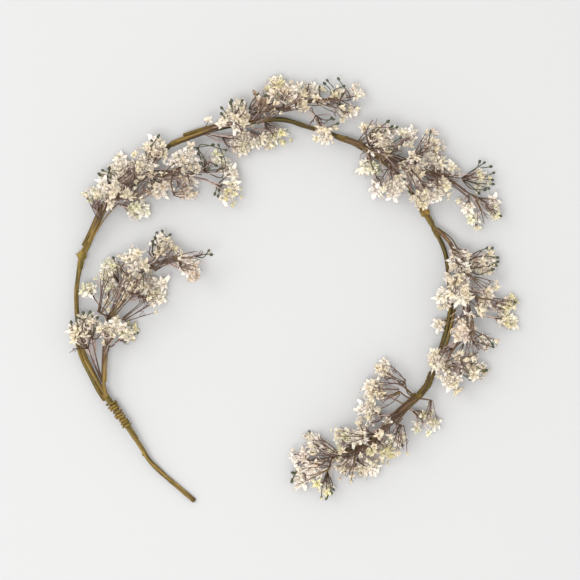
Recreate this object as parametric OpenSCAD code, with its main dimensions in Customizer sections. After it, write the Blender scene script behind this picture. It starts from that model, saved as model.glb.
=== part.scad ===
// Flower crown: an open ring of wired artificial baby's-breath sprigs, lying flat on a table.
// Millimetres, +Z up. The table is z = 0 and the middle of the head opening is the origin.
// Six sprigs are taped end to end along a bendable ring stem. A bare tail leaves one end of it.

/* [Ring stem] */
// Radius of the tape-wrapped ring stem
stem_r = 1.25; // [1:0.05:1.6]
// Radius of the thinner stem ends laid beside it
strand_r = 0.85; // [0.6:0.05:1]
// Height of the ring stem's centre above the table
stem_z = 5; // [4:0.5:7]
// Height of the tail tip's centre, so that it touches the table
tip_z = 1.25; // [1.25:0.05:2]
// Length of the straight, bare end of the tail
tip_length = 12; // [8:1:16]

/* [Tape and binding] */
// Radius of the round tape knuckle that an arm bends on
knuckle_r = 2.6; // [2.2:0.1:3]
// Gap between a knuckle and the stem that bends round it
bend_gap = 0.35; // [0.3:0.05:0.5]
// Radius of a tape sleeve round one stem
sleeve_r = 1.8; // [1.6:0.1:2.2]
// Radius of a tape sleeve round a stem and a sprig stalk
wide_sleeve_r = 2.5; // [2.2:0.1:3]
// Turns of the bare binding wire
binding_turns = 8.5; // [7:0.5:9]
// Radius of the binding wire
binding_wire_r = 0.6; // [0.5:0.05:0.7]

/* [Sprigs] */
// Radius of a sprig stalk where it leaves the tape
stalk_r = 0.85; // [0.7:0.05:1]
// Radius of a flowering twig at its fork
twig_r = 0.5; // [0.4:0.05:0.6]
// Radius of a blossom's rim
blossom_r = 2.3; // [1.8:0.1:2.6]
// Radius of a closed bud
bud_r = 0.8; // [0.6:0.1:1]
// Share of each head's blossoms that are built
fullness = 0.75; // [0.6:0.05:1]

/* [Hidden] */
stem_sides = 8;
twig_sides = 4;
bud_stalk_sides = 3;
knuckle_detail = 48;
golden_angle = 137.5;
// Shares of a radius at the far end of a tape sleeve, a stalk and a twig
sleeve_taper = 0.85;
stalk_taper = 0.9;
twig_taper = 0.6;
// Swelling of a twig where it forks, and where its head opens
fork_swell = 1.7;
head_swell = 1.3;
// Distance between the centres of the ring stem and a stem end beside it
strand_gap = stem_r + strand_r + 0.1;
// Knob left on the tail where a side shoot was cut off
knob_centre = [-76.8, -89.2, 3.6];
stem_color = [0.52, 0.44, 0.25];
strand_color = [0.47, 0.43, 0.24];
tape_color = [0.44, 0.42, 0.22];
binding_color = [0.46, 0.37, 0.22];
twig_color = [0.42, 0.32, 0.3];
blossom_color = [0.94, 0.91, 0.83];
bud_color = [0.24, 0.25, 0.19];

// Bends: the places on the ring where one arm turns on the next
tail_bend = [-85.6, -74.4, stem_z];
left_bend = [-110.8, 17.5, stem_z];
right_bend = [71, 40.5, stem_z];
end_bend = [72.6, -51, stem_z];

// Routes of the ring stem, one per length of stem
tip_start = [-60.5, -105, tip_z];
tip_turn = -40.8;
tail_route = [
    tip_start + [1.5, -1.3, 0],
    [-68.4, -98.1, 2.2],
    [-75.1, -91.3, 3.4],
    [-79.5, -84, 4.4],
    tail_bend
];
binding_end = [-95.5, -60.5, stem_z];
left_route = [
    tail_bend,
    [-90.6, -67.4, stem_z],
    binding_end,
    [-100, -54, stem_z],
    [-104.7, -45, stem_z],
    [-110, -33.7, stem_z],
    [-113, -18, stem_z],
    [-113.6, -1, stem_z],
    left_bend
];
shoulder_route = [
    left_bend,
    [-105.5, 27.4, stem_z],
    [-99, 41.6, stem_z],
    [-91.7, 51, stem_z],
    [-83.2, 59.6, stem_z],
    [-73.7, 68, stem_z],
    [-63.6, 76.3, stem_z]
];
top_route = [
    [-63.6, 76.3, stem_z],
    [-53.5, 80.3, stem_z],
    [-36.6, 85.3, stem_z],
    [-21, 88.2, stem_z],
    [-4.8, 89.5, stem_z],
    [9, 85.6, stem_z],
    [25, 80.3, stem_z],
    [36, 75.5, stem_z],
    [49.8, 66.5, stem_z],
    [60.4, 56, stem_z],
    right_bend
];
right_route = [
    right_bend,
    [75.8, 32, stem_z],
    [81.6, 19.3, stem_z],
    [83.8, 4.5, stem_z],
    [84.3, -12, stem_z],
    [80, -30, stem_z],
    end_bend
];
end_route = [
    end_bend,
    [64.7, -60.2, stem_z],
    [54.6, -69, stem_z],
    [44.5, -77.6, stem_z],
    [33, -84.5, stem_z],
    [20.7, -88.2, stem_z]
];

// Forks along each sprig's stalk, then its heads: fork number, centre, radius, blossoms, buds
spray_1_forks = [
    [-97.6, -57.4, 7.3], [-99, -49, 8], [-98, -33, 9], [-95, -15, 9.5],
    [-88, -4, 10], [-76, 11, 10.5], [-62, 17, 11.5]
];
spray_1_heads = [
    [1, [-114, -24, 10], 6, 8, 4],
    [2, [-95, -22, 14], 5, 6, 0],
    [2, [-87.5, -24, 1], 4, 4, 1],
    [3, [-101, -2, 10], 5, 6, 0],
    [4, [-95, 10, 8], 5, 6, 1],
    [4, [-84, 14, 13], 5, 5, 0],
    [4, [-73, -2, 1], 8, 10, 0],
    [5, [-67, 22, 8], 6, 5, 6],
    [6, [-51, 12, 13], 5, 6, 0],
    [6, [-47, 20, 15], 3, 0, 2]
];
spray_2_forks = [
    [-107, 24.5, 7.3], [-101.5, 36, 8.5], [-94, 46, 9.5], [-85, 54, 10],
    [-75, 61, 10.5], [-62, 61, 11.5], [-47, 60, 11.5]
];
spray_2_heads = [
    [1, [-106, 50, 7], 6, 8, 0],
    [2, [-99, 59.6, 8], 4, 2, 5],
    [2, [-92, 52, 14], 5, 7, 0],
    [2, [-80, 39.5, 4], 5, 6, 0],
    [3, [-91, 65, 1], 6, 7, 0],
    [3, [-77.4, 66, 14], 6, 7, 0],
    [4, [-70, 72, 12], 5, 5, 3],
    [4, [-69, 54, 5], 5, 6, 0],
    [5, [-55, 66, 14], 7, 10, 0],
    [6, [-42, 69.7, 9], 5, 0, 8],
    [5, [-56, 51, 4], 5, 5, 0],
    [6, [-31, 50, 7], 6, 4, 4]
];
spray_3_forks = [
    [-60.5, 77.8, 7.3], [-46, 83, 8.5], [-33, 88, 9.5], [-18, 92.5, 10],
    [-4, 95, 10], [9, 98, 10], [19, 99, 10]
];
spray_3_heads = [
    [2, [-30, 90.5, 14], 8, 10, 7],
    [1, [-27, 78, 3.5], 6, 7, 0],
    [3, [-17, 96, 13], 5, 0, 4],
    [3, [-10, 104, 5], 5, 5, 0],
    [4, [-3, 100, 12], 5, 6, 0],
    [5, [7, 102, 1], 5, 6, 0],
    [6, [22.3, 103.5, 6.5], 6, 0, 8],
    [6, [34, 106, 6], 4, 3, 0],
    [3, [-8.5, 81.5, 4], 5, 5, 0],
    [6, [30, 92, 7], 4, 3, 0],
    [5, [17.5, 84, 12], 5, 5, 3]
];
spray_4_forks = [
    [28.5, 79, 7.3], [40, 75, 9], [52, 70, 10], [66, 64, 10], [82, 58, 10], [94, 50, 9.5]
];
spray_4_heads = [
    [1, [46, 79, 13], 8, 10, 5],
    [1, [39, 65.5, 1], 5, 7, 0],
    [2, [54.6, 55.4, 10], 6, 7, 0],
    [3, [72, 76, 7], 6, 3, 2],
    [3, [64, 65, 15], 6, 6, 0],
    [4, [78, 65, 6], 6, 6, 0],
    [4, [99, 58.6, 5], 6, 1, 9],
    [5, [94, 43, 8], 3, 2, 0],
    [5, [98, 35, 10], 3, 2, 1],
    [5, [109, 40, 6], 3, 2, 2],
    [3, [79, 51.5, 10], 6, 6, 0],
    [3, [69, 48.5, 12], 6, 6, 0]
];
spray_5_forks = [
    [77, 30, 7.3], [83.5, 22, 8.5], [89, 12, 9.5], [92.5, 0, 9.5],
    [93, -13, 9.5], [92, -26, 9.5], [89, -38, 9]
];
spray_5_heads = [
    [2, [99, 13, 7], 7, 9, 4],
    [3, [89.6, 1, 14], 5, 6, 0],
    [3, [101, -6, 6], 5, 6, 0],
    [4, [113, -9, 1], 4, 3, 1],
    [4, [114, -17, 3], 3, 3, 0],
    [3, [82, -5, 11], 4, 4, 0],
    [4, [90.6, -19.3, 14], 5, 6, 0],
    [4, [77, -18.3, 4], 3, 3, 0],
    [5, [104, -29, 4], 4, 3, 2],
    [5, [78, -38.4, 12], 6, 7, 0],
    [6, [96, -40.5, 6.5], 6, 6, 5],
    [6, [85, -50, 10], 5, 5, 0]
];
spray_6_forks = [
    [66.5, -58.3, 7.3], [61, -62, 8.5], [54, -69, 9.5], [46, -77, 10],
    [35, -85, 10], [22, -89, 9.5], [10, -91, 9]
];
spray_6_heads = [
    [0, [51, -45, 6], 6, 6, 0],
    [1, [47, -57, 7], 6, 6, 0],
    [2, [44, -66, 8], 4, 5, 0],
    [1, [71, -70, 5], 6, 6, 0],
    [2, [58, -79, 6], 3, 2, 3],
    [3, [48, -85, 5], 6, 7, 0],
    [3, [42, -80.3, 14], 6, 8, 0],
    [4, [25, -79.5, 8], 5, 5, 0],
    [5, [11, -80, 1], 5, 3, 1],
    [5, [14, -91, 13], 5, 4, 0],
    [6, [2, -89.8, 5], 5, 5, 0],
    [6, [3, -101, 4], 4, 3, 3],
    [5, [15, -104, 5], 5, 0, 5],
    [4, [39.5, -96, 1], 6, 6, 0],
    [4, [28.6, -96, 8], 5, 5, 0]
];

// Vector and path helpers
function unit(v) = v / norm(v);
function noise(i) = let (v = sin(i * 127.1 + 31.7) * 4375.85) v - floor(v);
function between(p, q, t) = p + (q - p) * t;
function curve(a, b, c, d, t) = 0.5 * (2 * b + (c - a) * t + (2 * a - 5 * b + 4 * c - d) * t ^ 2
    + (3 * b - a - 3 * c + d) * t ^ 3);
function smooth(p, steps) = [
    for (i = [0:len(p) - 2], k = [0:steps - 1])
        curve(p[max(i - 1, 0)], p[i], p[i + 1], p[min(i + 2, len(p) - 1)], k / steps),
    p[len(p) - 1]
];
function heading(p, i) = unit(p[min(i + 1, len(p) - 1)] - p[max(i - 1, 0)]);
function sideways(p, i) = unit(cross(heading(p, i), [0, 0, 1]));
// A stem laid beside another, from point a to point b of its path, on its right for a gap over 0
function beside(p, a, b, gap) = [for (i = [a:b]) p[i] + gap * sideways(p, i)];

// Round bar along a path, thinning from one radius to the other, its sides turned by roll
module bar(path, r_start, r_end, sides = stem_sides, roll = 0) {
    last = len(path) - 1;
    points = [
        for (i = [0:last])
            let (
                side = sideways(path, i),
                up = cross(side, heading(path, i)),
                r = r_start + (r_end - r_start) * i / last
            )
            for (k = [0:sides - 1])
                let (a = 360 * k / sides + roll) path[i] + r * (cos(a) * side + sin(a) * up)
    ];
    walls = [
        for (i = [0:last - 1], k = [0:sides - 1])
            let (a = i * sides + k, b = i * sides + (k + 1) % sides)
            each [[a, b, b + sides], [a, b + sides, a + sides]]
    ];
    start_cap = [for (k = [sides - 1:-1:0]) k];
    end_cap = [for (k = [0:sides - 1]) last * sides + k];
    polyhedron(points, concat(walls, [start_cap], [end_cap]));
}

// Stem whose end is hollowed round the knuckle that it bends on
module bent_stem(route, bend) {
    difference() {
        bar(smooth(route, 3), stem_r, stem_r);
        translate(bend)
            sphere(knuckle_r + bend_gap, $fn = knuckle_detail);
    }
}

// Tape knuckle with a sleeve that runs from it along the stem that carries it
module knuckle(bend, toward, length) {
    translate(bend)
        sphere(knuckle_r, $fn = knuckle_detail);
    bar([bend, bend + length * unit(toward - bend)], sleeve_r * 1.1, sleeve_r);
}

// Tape sleeve that holds a sprig's stalk on top of the ring stem
module sprig_sleeve(path, length) {
    lift = [0, 0, stalk_r];
    along = unit(path[1] - path[0]);
    bar([path[0] + lift, path[0] + lift + length * along], wide_sleeve_r, wide_sleeve_r * sleeve_taper);
}

// Swollen node where twigs part
module twig_node(centre, r) {
    hull()
        translate(centre)
            rotate([20, 35, 360 * noise(centre[0] + centre[1])])
                sphere(r, $fn = 5);
}

// Twig from a fork to a head, bowed a little upward
module twig(fork, centre, r) {
    bow = 0.08 + 0.08 * noise(centre[1]);
    middle = between(fork, centre, 0.5) + [0, 0, bow * norm(centre - fork)];
    bar(smooth([fork, middle, centre], 2), r, r * twig_taper, twig_sides, 90 * noise(centre[0]));
}

// Direction of the i-th of n shoots that fan out of a head
function shoot(i, n, turn) = let (tilt = 88 * sqrt((i + 0.5) / max(n, 1)), a = turn + i * golden_angle)
    [sin(tilt) * cos(a), sin(tilt) * sin(a), cos(tilt)];
function built(head) = round(head[3] * fullness + 0.3);
function head_turn(head) = 360 * noise(head[1][0] + head[1][1]);

// Trumpet-shaped blossom with a five-sided rim at the end of its shoot
module blossom(reach, r) {
    hull()
        cylinder(h = reach, r1 = 0.4, r2 = r, $fn = 5);
}

module point_along(direction) {
    rotate([0, acos(direction[2]), atan2(direction[1], direction[0])])
        children();
}

// All blossoms of a sprig: each head is one clump, and nothing goes below the table
module blossoms(heads) {
    color(blossom_color)
        difference() {
            for (head = heads)
                if (head[3] > 0)
                    translate(head[1])
                        for (i = [0:built(head) - 1]) {
                            r = blossom_r * (0.8 + 0.35 * noise(i + head[1][0]));
                            point_along(shoot(i, built(head), head_turn(head)))
                                rotate(golden_angle * i)
                                    blossom(head[2] * (0.8 + 0.25 * noise(i * 3 + head[1][1])), r);
                        }
            translate([-200, -200, -20])
                cube([400, 400, 20]);
        }
}

// Closed buds stand out past a head's blossoms on hair-thin stalks
function bud_direction(head, i) = let (
        a = head_turn(head) + 70 + i * 360 / head[4],
        tilt = 35 + 40 * noise(i * 7 + head[1][0])
    ) [sin(tilt) * cos(a), sin(tilt) * sin(a), cos(tilt)];
function bud_reach(head, i) = head[2] * (1.05 + 0.45 * noise(i * 5 + head[1][1])) + 1.5;

module buds(heads) {
    color(bud_color)
        for (head = heads)
            if (head[4] > 0)
                for (i = [0:head[4] - 1])
                    translate(head[1] + bud_direction(head, i) * bud_reach(head, i))
                        point_along(bud_direction(head, i))
                            hull() {
                                sphere(bud_r, $fn = 4);
                                translate([0, 0, bud_r * 2])
                                    sphere(bud_r * 0.35, $fn = 4);
                            }
}

module twigs(forks, heads) {
    color(twig_color) {
        for (i = [1:len(forks) - 1])
            twig_node(forks[i], twig_r * fork_swell);
        for (head = heads) {
            twig(forks[head[0]], head[1], twig_r);
            twig_node(head[1], twig_r * head_swell);
            if (head[4] > 0)
                for (i = [0:head[4] - 1])
                    bar([head[1], head[1] + bud_direction(head, i) * bud_reach(head, i)],
                        twig_r * 0.6, twig_r * 0.45, bud_stalk_sides, 120 * noise(i * 3 + head[1][0]));
        }
    }
}

module stalk(forks) {
    color(strand_color)
        bar(smooth(forks, 2), stalk_r, twig_r * stalk_taper, 6);
}

// Ring stem lengths
module tail_stem() {
    color(stem_color) {
        translate(tip_start)
            rotate([0, 90, tip_turn])
                cylinder(h = tip_length, r = stem_r, $fn = knuckle_detail);
        difference() {
            bar(smooth(tail_route, 3), stem_r * 0.96, stem_r);
            translate(tail_bend)
                sphere(knuckle_r + bend_gap, $fn = knuckle_detail);
        }
        translate(knob_centre)
            sphere(stem_r * 1.1, $fn = 24);
    }
}

module left_stem() {
    color(stem_color)
        bent_stem(left_route, left_bend);
}

module shoulder_stem() {
    color(stem_color)
        bar(smooth(shoulder_route, 3), stem_r, stem_r);
}

module top_stem() {
    color(stem_color)
        bar(smooth(top_route, 3), stem_r, stem_r);
}

module right_stem() {
    color(stem_color)
        bent_stem(right_route, right_bend);
}

module end_stem() {
    color(stem_color)
        bent_stem(end_route, end_bend);
}

// Thinner stem ends that run beside the ring stem
module second_stem(route, a, b, gap) {
    color(strand_color)
        bar(beside(smooth(route, 3), a, b, gap), strand_r, strand_r * stalk_taper);
}

module left_second_stem() {
    second_stem(left_route, 8, 18, -strand_gap);
}

module shoulder_second_stem() {
    second_stem(shoulder_route, 3, 9, -strand_gap);
}

module top_second_stem() {
    second_stem(top_route, 2, 9, -strand_gap);
}

module right_second_stem() {
    second_stem(right_route, 11, 16, -strand_gap);
}

module end_second_stem() {
    second_stem(end_route, 2, 6, strand_gap);
}

// Tape joints and sleeves
module tail_tape_joint() {
    color(tape_color)
        knuckle(tail_bend, left_route[1], 4);
}

module left_sprig_tape() {
    color(tape_color)
        sprig_sleeve([binding_end, left_route[3]], 5);
}

module left_tape_joint() {
    color(tape_color) {
        knuckle(left_bend, shoulder_route[1], 6);
        sprig_sleeve([between(left_bend, shoulder_route[1], 0.45), shoulder_route[1]], 5);
    }
}

module top_tape_joint() {
    color(tape_color)
        sprig_sleeve([top_route[0], top_route[1]], 7);
}

module upper_right_tape() {
    color(tape_color)
        sprig_sleeve([top_route[6], top_route[7]], 6);
}

module right_tape_joint() {
    color(tape_color)
        knuckle(right_bend, top_route[9], 8);
}

module right_sprig_tape() {
    color(tape_color)
        sprig_sleeve([right_route[1], right_route[2]], 5);
}

module end_tape_joint() {
    color(tape_color)
        knuckle(end_bend, right_route[5], 8);
}

module end_sprig_tape() {
    color(tape_color)
        sprig_sleeve([between(end_bend, end_route[1], 0.55), end_route[1]], 5);
}

// Bare wire wound round the stem at the foot of the first sprig
module tail_binding() {
    steps = 10;
    start = between(tail_bend, binding_end, 0.18);
    along = unit(binding_end - start);
    side = unit(cross(along, [0, 0, 1]));
    up = cross(side, along);
    coil_r = stem_r + binding_wire_r + 0.05;
    length = norm(binding_end - start);
    turns = [for (k = [0:binding_turns * steps])
        let (a = 360 * k / steps)
        start + along * length * k / (binding_turns * steps) + coil_r * (cos(a) * side + sin(a) * up)
    ];
    color(binding_color)
        bar(turns, binding_wire_r, binding_wire_r, twig_sides);
}

tail_stem();
tail_tape_joint();
tail_binding();
left_stem();
left_second_stem();
left_sprig_tape();
left_tape_joint();
shoulder_stem();
shoulder_second_stem();
top_tape_joint();
top_stem();
top_second_stem();
upper_right_tape();
right_tape_joint();
right_stem();
right_second_stem();
right_sprig_tape();
end_tape_joint();
end_stem();
end_second_stem();
end_sprig_tape();
stalk(spray_1_forks);  // spray_1_stalk
twigs(spray_1_forks, spray_1_heads);  // spray_1_twigs
blossoms(spray_1_heads);  // spray_1_blossoms
buds(spray_1_heads);  // spray_1_buds
stalk(spray_2_forks);  // spray_2_stalk
twigs(spray_2_forks, spray_2_heads);  // spray_2_twigs
blossoms(spray_2_heads);  // spray_2_blossoms
buds(spray_2_heads);  // spray_2_buds
stalk(spray_3_forks);  // spray_3_stalk
twigs(spray_3_forks, spray_3_heads);  // spray_3_twigs
blossoms(spray_3_heads);  // spray_3_blossoms
buds(spray_3_heads);  // spray_3_buds
stalk(spray_4_forks);  // spray_4_stalk
twigs(spray_4_forks, spray_4_heads);  // spray_4_twigs
blossoms(spray_4_heads);  // spray_4_blossoms
buds(spray_4_heads);  // spray_4_buds
stalk(spray_5_forks);  // spray_5_stalk
twigs(spray_5_forks, spray_5_heads);  // spray_5_twigs
blossoms(spray_5_heads);  // spray_5_blossoms
buds(spray_5_heads);  // spray_5_buds
stalk(spray_6_forks);  // spray_6_stalk
twigs(spray_6_forks, spray_6_heads);  // spray_6_twigs
blossoms(spray_6_heads);  // spray_6_blossoms
buds(spray_6_heads);  // spray_6_buds
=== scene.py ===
"""Looks of the flower crown: an open ring of artificial baby's-breath sprigs on a taped wire stem.

The ring's routes repeat part.scad's own, and each head of blossoms stands at or near its CAD head.
Everything is built in millimetres in the CAD frame, and scaled to metres when a mesh is made.
"""

import math

import bpy
import numpy as np
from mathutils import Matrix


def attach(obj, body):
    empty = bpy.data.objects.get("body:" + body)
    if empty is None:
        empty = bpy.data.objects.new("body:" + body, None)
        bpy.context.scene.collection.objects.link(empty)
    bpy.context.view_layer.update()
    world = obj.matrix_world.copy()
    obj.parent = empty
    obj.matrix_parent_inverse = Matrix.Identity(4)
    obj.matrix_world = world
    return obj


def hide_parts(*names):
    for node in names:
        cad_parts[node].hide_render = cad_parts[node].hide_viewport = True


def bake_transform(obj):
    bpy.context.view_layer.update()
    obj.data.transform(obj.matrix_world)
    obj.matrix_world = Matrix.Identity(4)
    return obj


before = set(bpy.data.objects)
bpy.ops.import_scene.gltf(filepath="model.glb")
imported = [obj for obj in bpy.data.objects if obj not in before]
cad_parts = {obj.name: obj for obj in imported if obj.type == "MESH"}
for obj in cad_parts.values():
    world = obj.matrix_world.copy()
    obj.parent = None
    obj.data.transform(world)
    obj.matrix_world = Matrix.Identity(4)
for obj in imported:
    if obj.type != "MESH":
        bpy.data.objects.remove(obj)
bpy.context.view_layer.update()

MM = 0.001
UP = np.array([0.0, 0.0, 1.0])
GOLDEN = math.radians(137.5)
STEM_R = 1.25
STRAND_R = 0.85
STEM_Z = 5.0
# Every point is kept at least this far above the table
TABLE_GAP = 0.05
# Painted shade: how much darker a bar's tint is made in the grooves between its strands, and on its
# underside
PAINTED_GROOVE_SHADE = 0.6
PAINTED_UNDER_SHADE = 0.45
# Reach of the grain coordinate round a bar, and turn of the strands in radians a millimetre
GRAIN_ROUND = 2.2
STRAND_TWIST = 0.06

# ---------------------------------------------------------------- colours, linear
OLIVE = np.array([0.2, 0.124, 0.028])
OLIVE_GREEN = np.array([0.126, 0.092, 0.018])
BROWN = np.array([0.092, 0.052, 0.024])
MAUVE = np.array([0.1, 0.06, 0.046])
PINKISH = np.array([0.46, 0.35, 0.3])
PALE_WISP = np.array([0.74, 0.64, 0.52])
BUD_GREEN = np.array([0.045, 0.05, 0.028])
CALYX_GREEN = np.array([0.19, 0.16, 0.09])
HEART = np.array([0.72, 0.68, 0.38])
DRIED = np.array([0.62, 0.46, 0.28])
# Petal tints: ivory, white, greenish, yellow, pinkish and brown
TINTS = {
    "i": np.array([0.99, 0.925, 0.8]),
    "w": np.array([0.99, 0.935, 0.83]),
    "g": np.array([0.97, 0.95, 0.79]),
    "y": np.array([0.99, 0.94, 0.72]),
    "p": np.array([0.99, 0.905, 0.81]),
    "b": np.array([0.60, 0.45, 0.32]),
}


# ---------------------------------------------------------------- small maths
def unit(v):
    v = np.asarray(v, float)
    return v / max(np.linalg.norm(v), 1e-9)


def level(turn, rise=0):
    """Direction at an angle round the vertical, with a rise."""
    return np.array([math.cos(turn), math.sin(turn), rise])


def smooth(points, step):
    """Catmull-Rom curve through points, with a point about every step millimetres."""
    p = np.asarray(points, float)
    q = np.vstack([2 * p[0] - p[1], p, 2 * p[-1] - p[-2]])
    out = []
    for i in range(1, len(q) - 2):
        a, b, c, d = q[i - 1 : i + 3]
        n = max(2, int(math.ceil(np.linalg.norm(c - b) / step)))
        t = (np.arange(n) / n)[:, None]
        square, cube = 2 * a - 5 * b + 4 * c - d, 3 * b - a - 3 * c + d
        out.append(0.5 * (2 * b + (c - a) * t + square * t**2 + cube * t**3))
    out.append(p[-1:])
    return np.vstack(out)


def lengths(path):
    return np.concatenate([[0], np.cumsum(np.linalg.norm(np.diff(path, axis=0), axis=1))])


def frames(path):
    """Heading and two square directions at each point, carried along without twist."""
    t = np.gradient(path, axis=0)
    t /= np.maximum(np.linalg.norm(t, axis=1), 1e-9)[:, None]
    side = unit(np.cross(t[0], UP if abs(t[0][2]) < 0.9 else np.array([1.0, 0, 0])))
    sides = []
    for h in t:
        side = unit(side - h * np.dot(side, h))
        sides.append(side)
    sides = np.array(sides)
    return t, sides, np.cross(t, sides)


def fade(a, b, n):
    t = np.linspace(0, 1, n)[:, None]
    return np.asarray(a) * (1 - t) + np.asarray(b) * t


# ---------------------------------------------------------------- mesh pieces
class Piece:
    """One mesh in the making: points in millimetres, faces, colours and the grain coordinate."""

    def __init__(self):
        self.points, self.faces, self.slots, self.tints, self.grains = [], [], [], [], []
        self.count = 0

    def add(self, points, faces, tint, grain=None, slot=0):
        points = np.asarray(points, float)
        n = len(points)
        self.points.append(points)
        self.faces += [tuple(int(i) + self.count for i in f) for f in faces]
        self.slots += [slot] * len(faces)
        self.tints.append(np.broadcast_to(np.asarray(tint, float), (n, 3)))
        self.grains.append(points if grain is None else grain)
        self.count += n

    def build(self, name, materials, replaces, slot, body=None, blend=None):
        mesh = bpy.data.meshes.new(name)
        points = np.vstack(self.points)
        points[:, 2] = np.maximum(points[:, 2], TABLE_GAP)
        mesh.from_pydata((points * MM).tolist(), [], self.faces)
        mesh.polygons.foreach_set("material_index", self.slots)
        mesh.polygons.foreach_set("use_smooth", [True] * len(self.faces))
        tint = mesh.attributes.new("tint", "FLOAT_COLOR", "POINT")
        colours = np.hstack([np.vstack(self.tints), np.ones((self.count, 1))])
        tint.data.foreach_set("color", colours.astype(np.float32).ravel())
        grain = mesh.attributes.new("grain", "FLOAT_VECTOR", "POINT")
        grain.data.foreach_set("vector", np.vstack(self.grains).astype(np.float32).ravel())
        for material in materials:
            mesh.materials.append(material)
        mesh.validate()
        mesh.update()
        obj = bpy.data.objects.new(name, mesh)
        bpy.context.scene.collection.objects.link(obj)
        if blend:
            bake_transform(obj)
        else:
            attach(obj, body)
        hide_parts(*replaces)


def tube(piece, path, radii, tint, sides=8, ridges=0.0, ridge_count=3, lump=0.0):
    """Round bar along path with domed ends. ridges makes it strands laid together, lump swells it."""
    path = np.asarray(path, float)
    n = len(path)
    radii = np.broadcast_to(np.asarray(radii, float), (n,))
    lump = np.broadcast_to(lump, (n,))
    s = lengths(path)
    heading, a, b = frames(path)
    angle = np.linspace(0, 2 * math.pi, sides, endpoint=False)
    rings, grains, shades = [], [], []
    for i in range(n):
        crest = np.cos(ridge_count * (angle + STRAND_TWIST * s[i]))
        r = radii[i] * (1 + ridges * crest) * (1 + lump[i])
        ways = np.outer(np.cos(angle), a[i]) + np.outer(np.sin(angle), b[i])
        rings.append(path[i] + r[:, None] * ways)
        # Painted shade: the tint is darkened in the grooves between strands and towards the bar's
        # underside
        groove_shade = (PAINTED_GROOVE_SHADE if ridges else 0) * (0.5 - 0.5 * crest) ** 2
        shades.append((1 - groove_shade) * (1 - PAINTED_UNDER_SHADE * (1 - ways[:, 2]) / 2))
        around = [GRAIN_ROUND * np.cos(angle), GRAIN_ROUND * np.sin(angle)]
        grains.append(np.column_stack([np.full(sides, s[i]), *around]))
    start = path[0] - heading[0] * radii[0] * 0.5
    end = path[-1] + heading[-1] * radii[-1] * 0.5
    points = np.vstack([np.vstack(rings), [start], [end]])
    grains = np.vstack([np.vstack(grains), [[s[0], 0, 0]], [[s[-1], 0, 0]]])
    faces = []
    for i in range(n - 1):
        for k in range(sides):
            j = (k + 1) % sides
            faces.append((i * sides + k, i * sides + j, (i + 1) * sides + j, (i + 1) * sides + k))
    first, last = n * sides, n * sides + 1
    for k in range(sides):
        j = (k + 1) % sides
        faces.append((first, j, k))
        faces.append((last, (n - 1) * sides + k, (n - 1) * sides + j))
    tint = np.broadcast_to(np.asarray(tint, float), (n, 3))
    tint = np.repeat(tint, sides, axis=0) * np.concatenate(shades)[:, None]
    piece.add(points, faces, np.vstack([tint, tint[:1], tint[-1:]]), grains)


def lathe(profile, sides, jitter, rng):
    """Closed turned shape about Z from (radius, height) pairs, with poles at both ends."""
    angle = np.linspace(0, 2 * math.pi, sides, endpoint=False)
    rings = []
    for r, z in profile[1:-1]:
        x = r * np.cos(angle) * (1 + jitter * rng.normal(size=sides))
        y = r * np.sin(angle) * (1 + jitter * rng.normal(size=sides))
        rings.append(np.column_stack([x, y, np.full(sides, z)]))
    points = np.vstack(rings + [[[0, 0, profile[0][1]]], [[0, 0, profile[-1][1]]]])
    n = len(rings)
    faces = []
    for i in range(n - 1):
        for k in range(sides):
            j = (k + 1) % sides
            faces.append((i * sides + k, i * sides + j, (i + 1) * sides + j, (i + 1) * sides + k))
    for k in range(sides):
        j = (k + 1) % sides
        faces += [(n * sides, j, k), (n * sides + 1, (n - 1) * sides + k, (n - 1) * sides + j)]
    return points, faces


# ---------------------------------------------------------------- blossoms
# A petal is a grid: its rows run from heart to tip, its columns from edge to edge
PETAL_ROWS = np.array([0, 0.3, 0.58, 0.82, 1.0])
PETAL_WIDTHS = np.array([0.26, 0.64, 0.98, 0.96, 0.6])
PETAL_COLUMNS = np.array([-1, -0.5, 0, 0.5, 1])
PETAL_THICKNESS = 0.1
# Radius where petals start, how round and how torn their tips are, and their ruffle's height and waves
HEART_R = 0.12
TIP_ROUND = 0.38
TIP_TORN = 0.17
RUFFLE = 0.34
RUFFLE_WAVES = 3.4


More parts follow.
